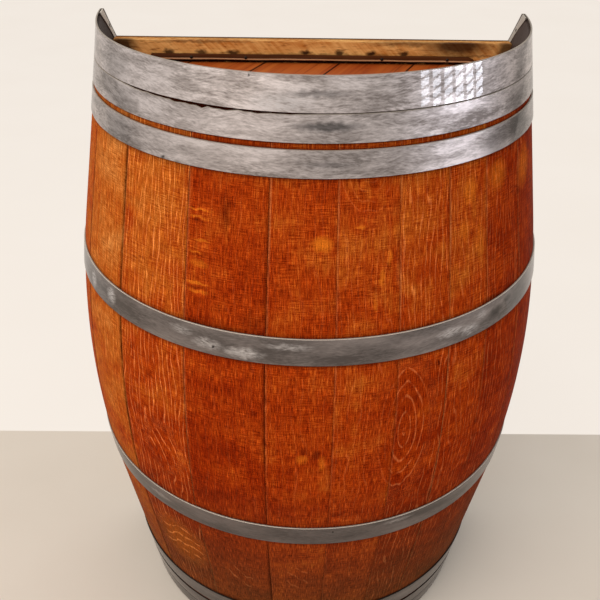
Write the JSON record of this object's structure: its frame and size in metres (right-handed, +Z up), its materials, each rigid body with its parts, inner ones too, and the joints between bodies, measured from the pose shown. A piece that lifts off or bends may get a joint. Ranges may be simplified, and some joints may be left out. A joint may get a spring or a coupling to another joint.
{
  "type": "half barrel bar cabinet",
  "caption": "Free-standing bar cabinet made from half an oak wine cask: hooped curved front, recessed head as a tray on top, and hinged doors with a shelf behind them in the flat back.",
  "frame": {"origin": "under the middle of the whole cabinet, at floor level", "axes": "+Z up, -Y to the curved front, +Y to the flat back with the doors, +X to the right seen from the front"},
  "size_m": [0.6999, 0.4, 0.95],
  "materials": {
    "varnished_oak": "stained and varnished, satin",
    "varnished_head_oak": "stained and varnished, satin",
    "plain_oak": "planed",
    "hoop_steel": "ground and clear-coated",
    "nail_iron": "dark, dull",
    "sawn_oak": "sawn, unfinished",
    "dark_batten": "dark stained",
    "door_oak": "oiled",
    "knob_oak": "turned and varnished",
    "hinge_brass": "brushed",
    "screw_steel": "plated",
    "zinc_steel": "zinc plated",
    "catch_plastic": "matte"
  },
  "bodies": {
    "carcass": {"batten_nails": "nail_iron", "bottom_chime_hoop": "hoop_steel", "bottom_head_board_1": "plain_oak", "bottom_head_board_2": "plain_oak", "bottom_head_board_3": "plain_oak", "bottom_head_board_4": "plain_oak", "bottom_head_board_5": "plain_oak", "bottom_rail": "sawn_oak", "bottom_second_hoop": "hoop_steel", "bottom_third_hoop": "hoop_steel", "frame_screws": "screw_steel", "head_batten": "dark_batten", "hoop_nails": "nail_iron", "left_hinge_frame_leaf": "hinge_brass", "left_hinge_pin": "hinge_brass", "left_stile": "sawn_oak", "lower_bilge_hoop": "hoop_steel", "magnetic_catch": "catch_plastic", "right_hinge_frame_leaf": "hinge_brass", "right_hinge_pin": "hinge_brass", "right_stile": "sawn_oak", "shelf": "door_oak", "shelf_pins": "zinc_steel", "stave_1": "varnished_oak", "stave_10": "varnished_oak", "stave_11": "varnished_oak", "stave_12": "varnished_oak", "stave_2": "varnished_oak", "stave_3": "varnished_oak", "stave_4": "varnished_oak", "stave_5": "varnished_oak", "stave_6": "varnished_oak", "stave_7": "varnished_oak", "stave_8": "varnished_oak", "stave_9": "varnished_oak", "top_chime_hoop": "hoop_steel", "top_head_board_1": "varnished_head_oak", "top_head_board_2": "varnished_head_oak", "top_head_board_3": "varnished_head_oak", "top_head_board_4": "varnished_head_oak", "top_head_board_5": "varnished_head_oak", "top_rail": "sawn_oak", "top_second_hoop": "hoop_steel", "top_third_hoop": "hoop_steel", "upper_bilge_hoop": "hoop_steel"},
    "left_door": {"left_door_lower_ledge": "door_oak", "left_door_panel": "door_oak", "left_door_screws": "screw_steel", "left_door_upper_ledge": "door_oak", "left_hinge_door_leaf": "hinge_brass", "left_knob": "knob_oak", "left_strike": "zinc_steel"},
    "right_door": {"right_door_lower_ledge": "door_oak", "right_door_panel": "door_oak", "right_door_screws": "screw_steel", "right_door_upper_ledge": "door_oak", "right_hinge_door_leaf": "hinge_brass", "right_knob": "knob_oak", "right_strike": "zinc_steel"}
  },
  "joints": [
    {"name": "left_door_hinge", "type": "hinge", "parent": "carcass", "child": "left_door", "pos_m": [-0.21425, 0.1755, 0.475], "axis": [0, 0, 1], "range_deg": [0, 170]},
    {"name": "right_door_hinge", "type": "hinge", "parent": "carcass", "child": "right_door", "pos_m": [0.21425, 0.1755, 0.475], "axis": [0, 0, -1], "range_deg": [0, 170]}
  ]
}
